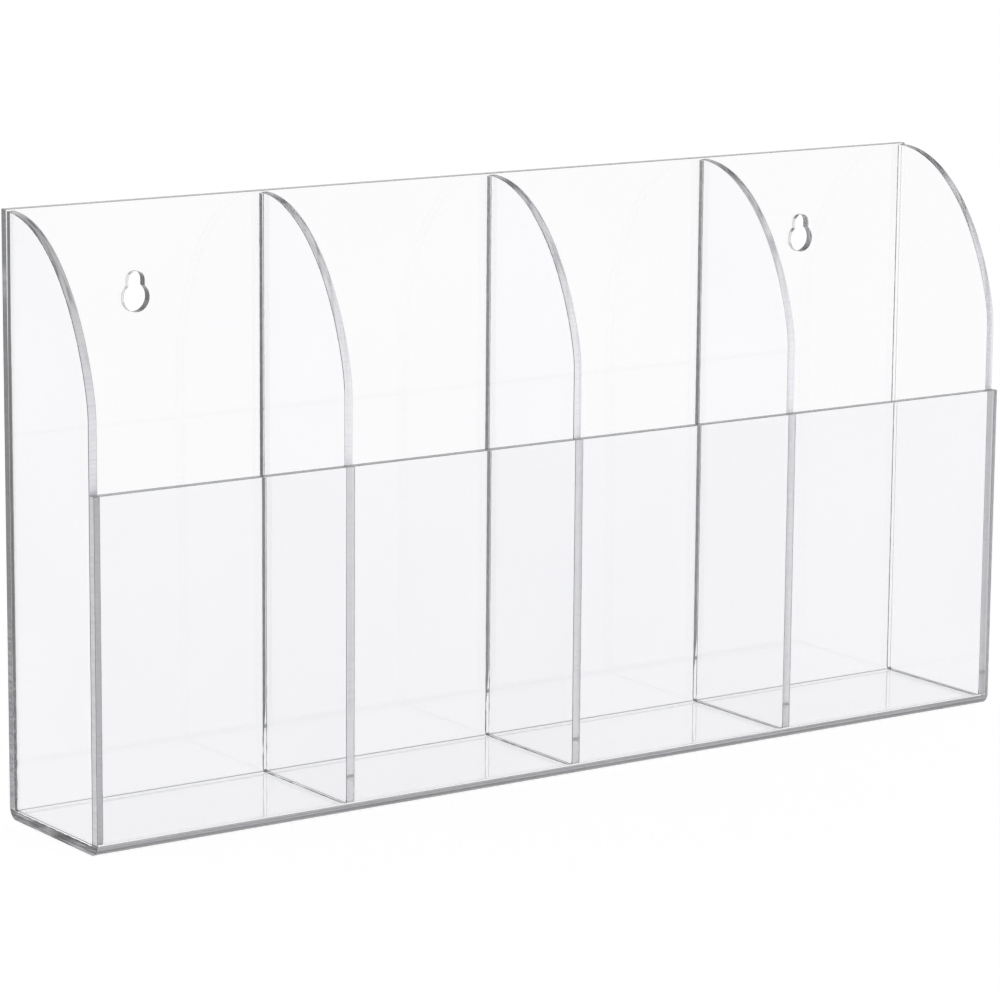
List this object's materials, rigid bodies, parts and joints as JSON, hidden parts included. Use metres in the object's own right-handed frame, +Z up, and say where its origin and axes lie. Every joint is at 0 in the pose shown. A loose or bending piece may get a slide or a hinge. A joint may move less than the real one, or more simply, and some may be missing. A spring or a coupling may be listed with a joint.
{
  "type": "file sorter",
  "caption": "Clear acrylic file sorter: a sheet bent into back, floor and low front, with curved uprights that part it into open-topped pockets, and keyholes for a wall.",
  "frame": {"origin": "centre of the bounding box in plan, on the floor's underside", "axes": "+X along the width, from the left end to the right as seen from the front; +Y from the front to the back, towards the wall; +Z up"},
  "size_m": [0.368, 0.057, 0.198],
  "materials": {
    "clear_acrylic": "polished"
  },
  "bodies": {
    "root": {"bent_sheet": "clear_acrylic", "left_end_panel": "clear_acrylic", "divider_1": "clear_acrylic", "divider_2": "clear_acrylic", "divider_3": "clear_acrylic", "right_end_panel": "clear_acrylic"}
  },
  "joints": []
}
